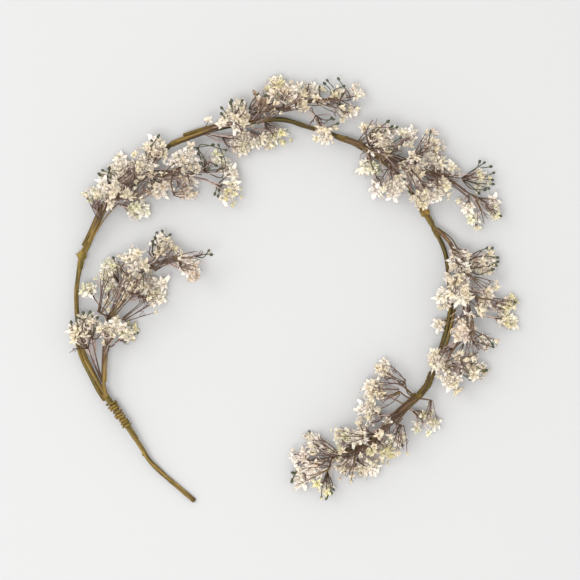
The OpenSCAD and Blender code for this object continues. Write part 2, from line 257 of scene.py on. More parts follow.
def petal(length, width, lean, phi, rng, ragged):
    """Closed thin petal: a folded, ruffled blade with a torn tip. Returns points, faces, depth."""
    rows, columns = len(PETAL_ROWS), len(PETAL_COLUMNS)
    t, c = np.meshgrid(PETAL_ROWS, PETAL_COLUMNS, indexing="ij")
    reach = length * (1.1 - TIP_ROUND * PETAL_COLUMNS**2 + rng.normal(size=columns) * TIP_TORN)
    leans = np.radians(np.interp(PETAL_ROWS, [0, 1], [lean * 0.4, lean * 1.15]))
    step = np.diff(PETAL_ROWS, prepend=0)[:, None] * reach
    r = HEART_R + np.cumsum(step * np.sin(leans)[:, None], axis=0)
    z = np.cumsum(step * np.cos(leans)[:, None], axis=0)
    fold = rng.uniform(0.04, 0.26)
    roll = rng.normal() * 0.16
    phase = rng.uniform(0, 2 * math.pi)
    half = width * PETAL_WIDTHS[:, None] / 2
    ruffle = RUFFLE * t**2 * np.sin(phase + RUFFLE_WAVES * c)
    lift = half * (2 * fold * np.abs(c) + 2 * roll * c * t) + ruffle
    tilt = leans[:, None]
    top = np.stack([r - lift * np.cos(tilt), c * half, z + lift * np.sin(tilt)], axis=-1)
    top += rng.normal(size=top.shape) * ragged * (0.15 + 0.85 * t[..., None])
    normal = np.stack([-np.cos(tilt) + 0 * c, 0 * c, np.sin(tilt) + 0 * c], axis=-1)
    under = (top - normal * PETAL_THICKNESS)[1:-1, 1:-1].reshape(-1, 3)
    points = np.vstack([top.reshape(-1, 3), under])

    def low(i, k):
        """Point of the underside. Along the rim it is the top side's own point."""
        if 0 < i < rows - 1 and 0 < k < columns - 1:
            return rows * columns + (i - 1) * (columns - 2) + (k - 1)
        return i * columns + k

    faces = []
    for i in range(rows - 1):
        for k in range(columns - 1):
            corner = i * columns + k
            faces.append((corner, corner + 1, corner + columns + 1, corner + columns))
            faces.append((low(i, k), low(i + 1, k), low(i + 1, k + 1), low(i, k + 1)))
    c, s = math.cos(phi), math.sin(phi)
    points = points @ np.array([[c, s, 0], [-s, c, 0], [0, 0, 1]])
    return points, faces, np.concatenate([t.ravel(), t[1:-1, 1:-1].ravel()])


def floret(seed, lean, size):
    """One blossom standing on +Z: five broad ragged petals round a few shorter upright ones."""
    rng = np.random.default_rng(seed)
    points, faces, depth, n = [], [], [], 0
    whorls = [(5, 4.5, 2.8, lean), (2 + seed % 3, 3.2, 2.0, lean * 0.6)]
    for whorl, (count, length, width, tilt) in enumerate(whorls):
        for k in range(count):
            phi = 2 * math.pi * (k + 0.5 * whorl) / count + rng.normal() * 0.2
            own_length = size * length * rng.uniform(0.78, 1.12)
            own_width = size * width * rng.uniform(0.78, 1.12)
            own_lean = tilt * rng.uniform(0.78, 1.15)
            p, f, d = petal(own_length, own_width, own_lean, phi, rng, 0.15 * size)
            p[:, 2] += 0.12 * whorl
            faces += [tuple(i + n for i in q) for q in f]
            points.append(p)
            depth.append(d)
            n += len(p)
    return np.vstack(points), faces, np.concatenate(depth)


# Lean in degrees and size of each blossom shape, wide open or half open
OPEN_SHAPES = [(76, 1.0), (68, 1.05), (60, 0.95), (82, 0.9), (72, 1.12), (64, 0.85), (80, 1.05)]
HALF_SHAPES = [(40, 0.8), (30, 0.8), (48, 0.8)]
OPEN = [floret(10 + i, lean, size) for i, (lean, size) in enumerate(OPEN_SHAPES)]
HALF = [floret(30 + i, lean, size) for i, (lean, size) in enumerate(HALF_SHAPES)]
CALYX_PROFILE = [(0, -1.1), (0.24, -1.0), (0.36, -0.45), (0.36, -0.15), (0.2, 0.02), (0, 0.04)]
CALYX = lathe(CALYX_PROFILE, 6, 0.06, np.random.default_rng(5))
BUD_PROFILE = [(0, -0.5), (0.4, -0.35), (0.72, 0.15), (0.74, 0.6), (0.5, 1.15), (0.2, 1.45), (0, 1.48)]
BUD = lathe(BUD_PROFILE, 8, 0.05, np.random.default_rng(3))
# Material slots of a piece of blossoms
FILM, CALYX_SLOT, HAZE = 0, 1, 2
# Share of the blossoms with browned tips
DRIED_SHARE = 0.12


def stand(points, place, axis, turn, scale=1.0):
    """Points about +Z, turned by turn, tipped so that +Z lies along axis, and put at place."""
    axis = unit(axis)
    side = unit(np.cross(axis, [0.3, 0.7, 0.64]))
    other = np.cross(axis, side)
    c, s = math.cos(turn), math.sin(turn)
    basis = np.array([c * side + s * other, -s * side + c * other, axis])
    return place + scale * points @ basis


def add_floret(flowers, place, axis, tint, rng, half, scale=1.0, film=FILM):
    shapes = HALF if half else OPEN
    points, faces, depth = shapes[rng.integers(len(shapes))]
    scale = scale * rng.uniform(0.56, 0.96)
    warmth = rng.normal() * 0.018
    shade = np.minimum(tint * rng.uniform(0.96, 1.02) + np.array([0.2, 0.0, -1.0]) * warmth, 0.99)
    depth = depth[:, None]
    heart = 0.2 * (1 - depth) ** 2
    colour = shade * (1 - heart) + HEART * heart
    dried = (0.3 if rng.random() < DRIED_SHARE else 0.04) * depth**3
    colour = colour * (1 - dried) + DRIED * dried
    turn = rng.uniform(0, 2 * math.pi)
    flowers.add(stand(points, place, axis, turn, scale), faces, colour, slot=film)
    base, base_faces = CALYX
    flowers.add(stand(base, place, axis, turn, scale), base_faces, CALYX_GREEN, slot=CALYX_SLOT)


def add_bud(buds, place, axis, rng, scale):
    points, faces = BUD
    tip = np.clip((points[:, 2:] + 0.5) / 1.8, 0, 1)
    colour = BUD_GREEN * (1.35 - 0.5 * tip) * rng.uniform(0.8, 1.25)
    buds.add(stand(points, place, axis, rng.uniform(0, 6.28), scale), faces, colour)


# ---------------------------------------------------------------- twigs
# Each kind of twig: radius at root and tip, tint at root and tip, bow and sway against its span, sides
TWIGS = {
    "blossom": (0.24, 0.18, PINKISH, PINKISH * 1.5, 0.06, 0.12, 5),
    "rib": (0.33, 0.27, MAUVE * 1.9, PINKISH, 0.04, 0.08, 6),
    "low": (0.2, 0.14, PINKISH, PINKISH * 1.4, 0.02, 0.08, 5),
    "cover": (0.28, 0.2, BROWN, MAUVE, 0.03, 0.08, 5),
    "wisp": (0.25, 0.16, MAUVE * 1.4, PINKISH, 0.08, 0.15, 5),
    "bud": (0.3, 0.26, BROWN * 0.7, BUD_GREEN * 1.6, 0.16, 0.2, 6),
    "caged bud": (0.3, 0.26, BROWN * 0.7, BUD_GREEN * 1.6, 0.16, 0.45, 6),
    "antler": (0.36, 0.22, BROWN * 0.7, MAUVE * 0.9, 0.14, 0.16, 6),
    "antler side": (0.24, 0.15, MAUVE * 0.8, MAUVE * 1.4, 0.05, 0.15, 5),
    "brush foot": (0.42, 0.4, BROWN, BROWN, 0.05, 0.08, 6),
    "brush": (0.34, 0.18, BROWN, MAUVE * 1.2, 0.03, 0.04, 5),
    "brush side": (0.2, 0.14, MAUVE * 0.8, MAUVE * 1.4, 0.03, 0.08, 5),
}
# Tints of a head's own stem near the foot of a sprig, and of the shoots of a brush
LEAD_TINTS = [BROWN * 0.5, OLIVE * 1.1, OLIVE * 0.45, OLIVE_GREEN * 0.7]
BRUSH_TINTS = [BROWN * 0.5, OLIVE * 0.6, MAUVE * 0.8, BROWN * 0.7, PINKISH * 0.5]
CURL_R = 0.2
# How far a brush stands above its row in SPRIGS, and how far apart its shoots start
BRUSH_LIFT = 4
BRUSH_PITCH = 0.55
BRUSH_BLOSSOM_SHARE = 0.45


def twig(piece, a, b, kind, rng, root_tint=None):
    """Thin knotty bar from a to b, bowed upwards and swayed to a side. Returns its path."""
    a, b = np.asarray(a, float), np.asarray(b, float)
    r0, r1, c0, c1, bow, sway, sides = TWIGS[kind]
    span = np.linalg.norm(b - a)
    side = unit(np.cross(b - a, UP))
    middle = (a + b) / 2 + UP * bow * span + side * rng.normal() * sway * span
    path = smooth([a, middle, b], max(0.7, span / 10))
    n = len(path)
    knots = 1 + 0.10 * rng.normal(size=n)
    tint = fade(c0 if root_tint is None else root_tint, c1, n)
    tube(piece, path, np.linspace(r0, r1, n) * knots, tint, sides)
    return path


def curl(piece, root, size, rng):
    """A pale filament that curls round over the blossoms."""
    start = rng.uniform(0, 2 * math.pi)
    sweep = rng.uniform(2.2, 4.2) * rng.choice([-1, 1])
    t = np.linspace(0, 1, 9)
    a = start + sweep * t
    r = size * (1 - 0.25 * t)
    rise = size * (0.2 + rng.uniform(-0.1, 0.5) * np.sin(math.pi * t))
    x = r * np.cos(a) - r[0] * math.cos(start)
    y = r * np.sin(a) - r[0] * math.sin(start)
    tube(piece, root + np.column_stack([x, y, rise]), CURL_R, fade(PINKISH, PALE_WISP, len(t)), 5)


def antler(piece, node, centre, radius, turn, rng):
    """Bare twig with a few side shoots."""
    tip = node + radius * rng.uniform(0.9, 1.7) * level(turn)
    tip[2] = centre[2] + 2 + radius * rng.uniform(0.3, 0.7)
    main = twig(piece, node, tip, "antler", rng)
    for share in (0.4, 0.6, 0.8):
        root = main[round(share * (len(main) - 1))]
        away = turn + rng.choice([-1, 1]) * rng.uniform(0.35, 0.9)
        end = root + radius * rng.uniform(0.3, 0.6) * level(away, rng.uniform(-0.1, 0.3))
        twig(piece, root, end, "antler side", rng)


def brush(piece, flowers, fork, foot, turn, length, shoots, fan, rng):
    """Dark twigs laid side by side that part into a brush, over the blossoms."""
    foot = np.array(foot, float) + UP * BRUSH_LIFT
    turn = math.radians(turn)
    twig(piece, fork, foot, "brush foot", rng)
    across = np.array([-math.sin(turn), math.cos(turn), 0])
    for i in range(shoots):
        share = (i + 0.5) / shoots - 0.5
        away = turn + math.radians(fan) * share + rng.normal() * 0.06
        way = level(away, rng.uniform(-0.06, 0.1))
        start = foot + across * BRUSH_PITCH * (i - (shoots - 1) / 2)
        start = start + rng.normal(size=3) * [0, 0, 0.3]
        tip = start + way * length * rng.uniform(0.75, 1.1)
        root_tint = BRUSH_TINTS[rng.integers(len(BRUSH_TINTS))]
        shoot = twig(piece, start, tip, "brush", rng, root_tint)
        for _ in range(2):
            root = shoot[rng.integers(len(shoot) // 2, len(shoot) - 1)]
            side = away + rng.choice([-1, 1]) * rng.uniform(0.3, 0.7)
            end = root + length * rng.uniform(0.12, 0.26) * level(side, 0.1)
            twig(piece, root, end, "brush side", rng)
        if rng.random() < BRUSH_BLOSSOM_SHARE:
            add_floret(flowers, tip, way + UP * rng.uniform(0.2, 1), TINTS["i"], rng, True)


# ---------------------------------------------------------------- heads
# How far side stems stand off the stalk, by the number of forks they have passed
FAN = [0.9, 1.5, 2.3, 2.8]
# Radius and number of blossoms of a head, against its row in SPRIGS
SPREAD = 1.06
FULLNESS = 0.78
# A head nearer its fork than this points along the stalk
NEAR_FORK = 4
RIB_LIMIT = 6
BLOSSOMS_PER_RIB = 2.2
HALF_OPEN_SHARE = 0.25
CURL_SHARE = 0.26
TIPPED_WISP_SHARE = 0.5
# Angle between buds that stand in a row
BUD_STEP = 0.38
# Lowest heights above the table
LOW_NODE, LOW_SPLIT, LOW_BASE, LOW_TIP, LOW_BUD = 0.8, 0.9, 0.6, 0.8, 1.5
LOW_BLOSSOM, LOW_HAZE = 2.0, 1.8
# A twig ends this far behind the heart of its blossom
BEHIND_HEART = 0.8


def stalk_way(forks, at):
    """Direction of a stalk at one of its forks."""
    return unit(forks[min(at + 1, len(forks) - 1)] - forks[max(at - 1, 0)])


def lead_path(forks, at, first, lateral, node, rng):
    """Side stem to a head: it runs along the stalk on its own side, then leaves for the node."""
    lowest = min(at, max(first, at - 2))
    points = []
    for step, index in enumerate(range(lowest, at + 1)):
        aside = np.cross(UP, stalk_way(forks, index)) * lateral * FAN[min(step, 3)]
        aside = aside + rng.normal(size=3) * 0.25
        points.append(forks[index] + aside + UP * (0.5 - abs(lateral)) * 0.9)
    reach = np.linalg.norm(node - points[-1])
    middle = (points[-1] + node) / 2 + UP * 0.06 * reach
    return smooth(points + [middle, node], 1.2)


class Head:
    """One head of blossoms: its own stem, and all that grows from the node at the stem's end."""

    def __init__(self, pieces, forks, first, at, row, seed):
        self.twigs, self.flowers, self.buds = pieces
        x, y, z, radius, count, self.bud_count, self.bud_turn, tint = row
        self.radius, self.count = radius * SPREAD, round(count * FULLNESS)
        self.tint, self.seed = TINTS[tint], seed
        self.rng = np.random.default_rng(seed)
        self.centre = np.array([x, y, z], float)
        way = stalk_way(forks, at)
        flat = (self.centre - forks[at]) * [1, 1, 0]
        reach = np.linalg.norm(flat)
        if reach > NEAR_FORK:
            self.out = unit(flat)
            back = min(self.radius * 1.35, max(reach * 0.85, self.radius * 0.6))
        else:
            self.out = unit(way * [1, 1, 0])
            back = self.radius
        self.bearing = math.atan2(self.out[1], self.out[0])
        lateral = float(np.clip(np.dot(flat, np.cross(UP, way)) / 10, -1, 1))
        self.node = self.centre - self.out * back
        self.node[2] = max(LOW_NODE, self.centre[2] - 0.3 * self.radius)
        self.path = lead_path(forks, at, first, lateral, self.node, self.rng)
        n = len(self.path)
        knots = 1 + 0.08 * self.rng.normal(size=n)
        tint = LEAD_TINTS[self.rng.integers(len(LEAD_TINTS))] if at < 3 else BROWN
        radii = np.linspace(0.56 - 0.05 * at, 0.37 - 0.02 * at, n)
        tube(self.twigs, self.path, radii * knots, fade(tint, MAUVE, n), 7)

    def along(self, low, high):
        """A point on the head's own stem, between two shares of its length."""
        return self.path[int(len(self.path) * self.rng.uniform(low, high))]

    def dome(self):
        """Places in a low, uneven dome, mostly on the far side of the head from its node."""
        rng, radius, places = self.rng, self.radius, []
        for i in range(self.count):
            rho = radius * math.sqrt((i + 0.5) / self.count) * rng.uniform(0.8, 1.15)
            a = i * GOLDEN + rng.normal() * 0.5 + self.seed
            height = 0.45 * radius * (1 - (rho / radius) ** 2) + rng.normal() * 1.2
            p = self.centre + [rho * math.cos(a), rho * math.sin(a), height]
            push = self.out * 0.5 * max(0, -np.dot(p - self.centre, self.out))
            p = p + push + rng.normal(size=3) * [1.1, 1.1, 0.4]
            p[2] = max(p[2], LOW_BLOSSOM)
            places.append(p)
        return places

    def blossoms(self):
        """Blossoms of the dome, on ribs that each part into a few twigs."""
        rng, node, count, places = self.rng, self.node, self.count, self.dome()
        ribs = max(1, min(RIB_LIMIT, round(count / BLOSSOMS_PER_RIB)))
        order = sorted(range(count), key=lambda i: math.atan2(*(places[i] - node)[1::-1]))
        for g in range(ribs):
            group = [places[i] for i in order[g * count // ribs : (g + 1) * count // ribs]]
            if not group:
                continue
            root = node if g % 2 == 0 else self.along(0.45, 0.8)
            split = node + (np.mean(group, axis=0) - node) * rng.uniform(0.35, 0.6)
            split = split + rng.normal(size=3) * 0.5
            split[2] = max(split[2], LOW_SPLIT)
            twig(self.twigs, root, split, "rib", rng)
            for place in group:
                self.blossom(split, place)

    def blossom(self, split, place):
        rng = self.rng
        outward = unit((place - self.node) * [1, 1, 0.3])
        axis = unit(UP * 0.65 + outward * rng.uniform(0.2, 1.2) + rng.normal(size=3) * 0.25)
        base = place - axis * BEHIND_HEART
        base[2] = max(base[2], LOW_BASE)
        twig(self.twigs, split, base, "blossom", rng)
        half = rng.random() < HALF_OPEN_SHARE
        add_floret(self.flowers, place, axis, self.tint, rng, half)
        if rng.random() < CURL_SHARE:
            curl(self.twigs, place + UP * 1.2, rng.uniform(1.5, 2.8), rng)

    def low_blossoms(self):
        """Paler, wide open blossoms that lie lower, under the twigs."""
        rng = self.rng
        tint = 0.5 * (self.tint + TINTS["p"])
        for _ in range(self.count):
            a = self.bearing + rng.normal() * 1.5
            p = self.centre + self.radius * rng.uniform(0.1, 0.95) * level(a)
            p[2] = max(LOW_HAZE, self.centre[2] - rng.uniform(0.2, 0.7) * self.radius)
            axis = UP + 0.2 * unit(p - self.node) + rng.normal(size=3) * 0.15
            root = self.along(0.6, 0.99)
            twig(self.twigs, root, p - unit(axis) * BEHIND_HEART, "low", rng)
            add_floret(self.flowers, p, axis, tint, rng, False, 1.3, HAZE)

    def bare_twigs(self):
        """Forked twigs over the blossoms, then wisps past them, some with a small blossom."""
        rng, centre, radius = self.rng, self.centre, self.radius
        for _ in range(min(3, 1 + self.count // 5)):
            turn = self.bearing + rng.normal() * 0.55
            antler(self.twigs, self.node, centre, radius, turn, rng)
        for _ in range(2 + self.count // 3):
            a = self.bearing + rng.normal() * 1.0
            tip = centre + radius * rng.uniform(0.8, 1.3) * level(a, rng.uniform(-0.1, 0.4))
            tip[2] = max(tip[2], LOW_TIP)
            wisp = twig(self.twigs, self.node, tip, "wisp", rng)
            if rng.random() < TIPPED_WISP_SHARE:
                axis = wisp[-1] - wisp[-3] + UP
                add_floret(self.flowers, wisp[-1] + UP * 0.3, axis, self.tint, rng, True, 0.6)

    def closed_buds(self):
        """Buds on dark stalks. Round a bare head they stand in a cage."""
        rng, cage = self.rng, self.count <= 1
        for i in range(self.bud_count):
            if self.bud_turn is not None:
                place = (i - (self.bud_count - 1) / 2) * BUD_STEP
                a = math.radians(self.bud_turn) + place + rng.normal() * 0.12
            elif cage:
                a = 2 * math.pi * (i + 0.5) / self.bud_count + rng.normal() * 0.2
            else:
                a = self.bearing + rng.normal() * 0.8
            far = self.radius * (rng.uniform(0.75, 1.3) if cage else rng.uniform(1.0, 1.35))
            tip = self.centre + far * level(a) + UP * rng.uniform(0.0, 0.5) * self.radius
            tip[2] = max(tip[2], LOW_BUD)
            stalk = twig(self.twigs, self.node, tip, "caged bud" if cage else "bud", rng)
            add_bud(self.buds, stalk[-1], unit(stalk[-1] - stalk[-3]), rng, rng.uniform(0.9, 1.2))


# The sprigs, numbered in their order round the ring. A sprig has:
# forks: points of its stalk, (x, y, z)
# brushes: fork number, (x, y, z), direction in degrees, length, shoots, fan in degrees
# heads: fork number, (x, y, z, radius, blossoms, buds, bud direction in degrees or None, tint)
# first: the earliest fork that its side stems start from, where that isn't 0
SPRIGS = {
    1: dict(
        body="left_arm",
        first=1,
        forks=[
            (-97.6, -57.4, 7.3), (-99, -49, 8), (-98, -33, 9), (-95, -15, 9.5),
            (-88, -4, 10), (-76, 11, 10.5), (-62, 17, 11.5),
        ],
        brushes=[
            (3, (-100.5, -12.7, 12), 76, 22, 5, 30),
            (3, (-94, -14, 14), 60, 26, 6, 32),
            (3, (-88, -16.5, 11), 34, 20, 5, 30),
            (5, (-72, 10, 13), 36, 15, 5, 50),
            (6, (-61, 15.5, 15), 2, 13, 4, 46),
        ],
        heads=[
            (1, (-111, -24, 10, 6, 9, 3, 100, "i")),
            (1, (-107, -20, 11, 5, 5, 5, 80, "i")),
            (2, (-95, -22, 14, 6, 9, 0, None, "i")),
            (2, (-87.5, -24, 1, 4, 4, 1, 0, "y")),
            (3, (-98, 0, 9, 5, 4, 0, None, "g")),
            (3, (-107, -2, 8, 3, 2, 0, None, "g")),
            (4, (-94, 10, 9, 5, 7, 1, 90, "g")),
            (4, (-84, 14, 13, 6, 8, 0, None, "w")),
            (4, (-74, -1, 1, 7.5, 13, 0, None, "i")),
            (4, (-82, 3, 12, 5, 6, 1, 20, "i")),
            (5, (-67, 22, 8, 5.5, 7, 6, 125, "i")),
            (5, (-62, 15, 9, 4, 3, 0, None, "p")),
            (6, (-53, 10.5, 13, 5, 6, 0, None, "p")),
            (6, (-46, 17, 15, 3, 0, 2, 40, "p")),
        ],
    ),
    2: dict(
        body="crown_top",
        forks=[
            (-107, 24.5, 7.3), (-101.5, 36, 8.5), (-94, 46, 9.5), (-85, 54, 10),
            (-75, 61, 10.5), (-62, 61, 11.5), (-47, 60, 11.5),
        ],
        brushes=[
            (1, (-101, 37, 9), 105, 12, 4, 40),
            (2, (-92, 48, 10), 20, 12, 5, 50),
            (3, (-90, 56, 17), 40, 12, 7, 22),
            (3, (-83.7, 47.3, 11), 36, 12, 7, 24),
            (4, (-67, 58.2, 15), 20, 12, 6, 22),
            (5, (-62, 50, 9), 5, 8, 4, 50),
        ],
        heads=[
            (1, (-103, 48, 7, 4.5, 7, 0, None, "g")),
            (2, (-96, 58, 8, 4, 3, 5, 130, "i")),
            (2, (-92, 52, 14, 7, 12, 0, None, "w")),
            (2, (-83, 42, 4, 4.5, 5, 0, None, "g")),
            (3, (-90, 63.5, 1, 6, 12, 0, None, "i")),
            (3, (-77.4, 64.5, 14, 6, 10, 0, None, "i")),
            (4, (-70, 72, 12, 6, 8, 3, 100, "i")),
            (4, (-70, 55, 5, 5, 7, 0, None, "p")),
            (5, (-56, 66, 14, 7, 12, 0, None, "w")),
            (6, (-42, 69.7, 9, 6, 1, 9, None, "g")),
            (5, (-56, 53, 4, 5, 7, 0, None, "p")),
            (6, (-34, 63, 8, 4, 4, 0, None, "w")),
            (6, (-33, 51, 7, 5, 5, 4, 170, "y")),
        ],
    ),
    3: dict(
        body="crown_top",
        forks=[
            (-60.5, 77.8, 7.3), (-46, 83, 8.5), (-33, 88, 9.5), (-18, 92.5, 10),
            (-4, 95, 10), (9, 98, 10), (19, 99, 10),
        ],
        brushes=[
            (2, (-20.4, 88.6, 14), 58, 12, 6, 30),
            (2, (-18.4, 87.5, 13), 34, 12, 6, 20),
            (4, (-3, 94.4, 15), 26, 11, 5, 24),
            (5, (14, 98.5, 11), -10, 14, 5, 40),
            (6, (22, 100, 10), -45, 12, 4, 46),
        ],
        heads=[
            (2, (-28, 90, 14, 7, 14, 5, 125, "i")),
            (1, (-27, 78, 3.5, 7, 9, 0, None, "w")),
            (3, (-17, 96, 13, 5, 2, 2, 80, "b")),
            (3, (-10, 104, 5, 6, 8, 0, None, "y")),
            (4, (-3, 100, 12, 6, 8, 0, None, "p")),
            (5, (7, 102, 1, 7, 10, 0, None, "i")),
            (6, (22.3, 104, 6.5, 6, 1, 9, None, "y")),
            (6, (33, 104, 6, 4, 3, 0, None, "w")),
            (3, (-8.5, 81.5, 4, 6, 7, 0, None, "y")),
            (6, (30, 92, 7, 4, 3, 0, None, "w")),
            (2, (-16, 80, 5, 5, 5, 0, None, "w")),
            (5, (17.5, 84, 12, 6, 7, 3, 40, "i")),
        ],
    ),
    4: dict(
        body="crown_top",
        forks=[
            (28.5, 79, 7.3), (40, 75, 9), (52, 70, 10), (66, 64, 10),
            (82, 58, 10), (94, 50, 9.5),
        ],
        brushes=[
            (1, (36, 77, 12), 30, 10, 4, 60),
            (1, (44, 72, 12), -12, 14, 6, 36),
            (2, (50, 68, 15), -50, 10, 7, 22),
            (2, (61, 62.5, 14), -62, 13, 6, 36),
            (3, (70, 61.4, 13), -27, 11, 6, 24),
            (3, (66, 71, 11), 40, 11, 5, 60),
            (5, (98, 47, 9), -50, 12, 6, 80),
        ],
        heads=[
            (1, (46, 79, 13, 8, 15, 6, 10, "i")),
            (1, (42, 66, 1, 5, 8, 0, None, "g")),
            (1, (47, 54, 4, 4, 3, 0, None, "w")),
            (2, (54.6, 55.4, 10, 7, 8, 0, None, "w")),
            (3, (72, 76, 7, 6, 4, 1, 90, "p")),
            (2, (61, 80, 8, 5, 5, 0, None, "w")),
            (4, (77, 72, 7, 4, 3, 0, None, "w")),
            (3, (64, 65, 15, 7, 10, 0, None, "i")),
            (4, (76, 64, 6, 5, 7, 0, None, "w")),
            (4, (86, 62, 6, 3.5, 3, 0, None, "w")),
            (4, (99, 58.6, 5, 6, 4, 9, 0, "y")),
            (5, (93, 46, 8, 4, 2, 0, None, "i")),
            (5, (97.5, 38.5, 5, 4, 2, 1, -90, "g")),
            (5, (107, 41, 5, 3.5, 2, 2, -45, "g")),
            (5, (106, 46, 4, 4, 1, 0, None, "w")),
            (3, (79, 53, 10, 5, 7, 0, None, "i")),
            (3, (69, 49, 12, 5, 8, 0, None, "i")),
        ],
    ),
    5: dict(
        body="right_arm",
        forks=[
            (77, 31.5, 7.3), (84, 24.5, 8.5), (89, 14, 9.5), (92.5, 0, 9.5),
            (93, -13, 9.5), (92, -26, 9.5), (89, -38, 9),
        ],
        brushes=[
            (1, (85, 20, 10), -20, 9, 4, 40),
            (2, (96, 5.6, 12), -32, 11, 4, 36),
            (4, (95, -17, 15), -88, 9, 3, 12),
            (5, (95, -22.6, 14), -62, 12, 5, 90),
            (5, (81, -40, 13), 0, 11, 5, 60),
            (3, (106, -6, 8), -30, 10, 5, 60),
        ],
        heads=[
            (2, (101, 14, 7, 6, 11, 6, 15, "i")),
            (2, (88, 11, 12, 5, 8, 0, None, "w")),
            (1, (86, 18, 10, 3, 3, 0, None, "p")),
            (3, (89.6, 1, 14, 6, 9, 0, None, "i")),
            (3, (101, -6, 6, 6, 9, 0, None, "i")),
            (4, (114, -8, 1, 4.5, 4, 1, 0, "y")),
            (4, (114, -17, 3, 4, 4, 0, None, "y")),
            (3, (82, -4.5, 11, 4.5, 5, 0, None, "w")),
            (4, (90.6, -19.3, 14, 6, 8, 0, None, "p")),
            (4, (80, -18.3, 4, 3, 2, 0, None, "w")),
            (5, (102, -29, 4, 4, 3, 2, -20, "w")),
            (5, (79, -37.5, 12, 6, 10, 0, None, "w")),
            (6, (96, -40, 6.5, 6, 8, 5, -60, "i")),
            (6, (85, -47.5, 10, 5, 7, 0, None, "i")),
        ],
    ),
    6: dict(
        body="end_arm",
        forks=[
            (66.5, -58.3, 7.3), (61, -62, 8.5), (54, -69, 9.5), (46, -77, 10),
            (35, -85, 10), (22, -89, 9.5), (10, -91, 9),
        ],
        brushes=[
            (0, (60, -49.5, 11), 158, 14, 6, 60),
            (0, (57, -54, 12), 192, 14, 7, 66),
            (0, (74, -59, 7), -95, 13, 4, 46),
            (2, (57.5, -67, 13), 220, 12, 7, 22),
            (2, (58.3, -72, 9), -95, 14, 5, 40),
            (4, (38.3, -78, 15), 178, 13, 3, 30),
            (5, (24.2, -86.8, 16), 160, 14, 5, 40),
            (5, (20, -94, 15), 190, 17, 4, 36),
            (4, (33, -88, 14), -120, 11, 5, 50),
        ],
        heads=[
            (0, (50, -43, 6, 4, 5, 0, None, "i")),
            (1, (44.5, -54, 7, 5, 7, 0, None, "i")),
            (2, (42, -66, 8, 5, 6, 0, None, "w")),
            (1, (71, -70, 5, 6, 6, 0, None, "g")),
            (2, (58, -79, 6, 3, 2, 1, -80, "w")),
            (3, (48, -85, 5, 6.5, 10, 0, None, "y")),
            (3, (37, -78, 12, 6, 8, 0, None, "w")),
            (4, (26, -80, 8, 5, 5, 0, None, "g")),
            (5, (13, -81.5, 1, 5, 6, 1, 120, "w")),
            (5, (14, -91, 10, 6, 4, 0, None, "p")),
            (6, (6, -89.8, 5, 5, 6, 0, None, "p")),
            (6, (6, -100, 4, 4, 4, 3, 180, "w")),
            (5, (17, -104, 5, 5, 2, 5, -60, "y")),
            (4, (39.5, -93.5, 1, 6, 8, 0, None, "w")),
            (4, (28.6, -94, 8, 5, 6, 0, None, "i")),
        ],
    ),
}


# ---------------------------------------------------------------- materials
NOISE_DETAIL = 4.0
NOISE_ROUGHNESS = 0.6
SPECULAR = 0.2
RELIEF_DEPTH = 0.0003


def new_material(name):
    material = bpy.data.materials.new(name)
    material.use_nodes = True
    tree = material.node_tree
    tree.nodes.clear()
    return material, tree


def new_node(tree, kind, **values):
    """Shader node with values on its sockets. A socket's spaces are written as underscores."""
    node = tree.nodes.new(f"ShaderNode{kind}")
    for socket, value in values.items():
        node.inputs[socket.replace("_", " ")].default_value = value
    return node


def attribute(tree, name):
    node = new_node(tree, "Attribute")
    node.attribute_name = name
    return node


def tinted(name, scale, spread, roughness, bump, stretch=(1, 1, 1), translucent=0.0, alpha=1.0):
    """Surface in the mesh's tint, varied by noise on the grain coordinate, with matching bump."""
    material, tree = new_material(name)
    link = tree.links.new
    tint, grain = attribute(tree, "tint"), attribute(tree, "grain")
    mapping = new_node(tree, "Mapping", Scale=stretch)
    link(grain.outputs["Vector"], mapping.inputs["Vector"])
    noise = new_node(tree, "TexNoise", Scale=scale, Detail=NOISE_DETAIL, Roughness=NOISE_ROUGHNESS)
    link(mapping.outputs["Vector"], noise.inputs["Vector"])
    limits = dict(From_Min=0.3, From_Max=0.7, To_Min=1 - spread, To_Max=1 + spread)
    ramp = new_node(tree, "MapRange", **limits)
    link(noise.outputs["Fac"], ramp.inputs["Value"])
    shade = new_node(tree, "VectorMath")
    shade.operation = "SCALE"
    link(tint.outputs["Color"], shade.inputs[0])
    link(ramp.outputs["Result"], shade.inputs["Scale"])
    relief = new_node(tree, "Bump", Strength=bump, Distance=RELIEF_DEPTH)
    link(noise.outputs["Fac"], relief.inputs["Height"])
    rough = new_node(tree, "MapRange", To_Min=roughness - 0.1, To_Max=roughness + 0.1)
    link(noise.outputs["Fac"], rough.inputs["Value"])
    surface = new_node(tree, "BsdfPrincipled", Specular_IOR_Level=SPECULAR, Alpha=alpha)
    link(shade.outputs["Vector"], surface.inputs["Base Color"])
    link(rough.outputs["Result"], surface.inputs["Roughness"])
    link(relief.outputs["Normal"], surface.inputs["Normal"])
    out = new_node(tree, "OutputMaterial")
    if translucent:
        through = new_node(tree, "BsdfTranslucent")
        link(shade.outputs["Vector"], through.inputs["Color"])
        mix = new_node(tree, "MixShader", Fac=translucent)
        link(surface.outputs["BSDF"], mix.inputs[1])
        link(through.outputs["BSDF"], mix.inputs[2])
        link(mix.outputs["Shader"], out.inputs["Surface"])
    else:
        link(surface.outputs["BSDF"], out.inputs["Surface"])
    return material


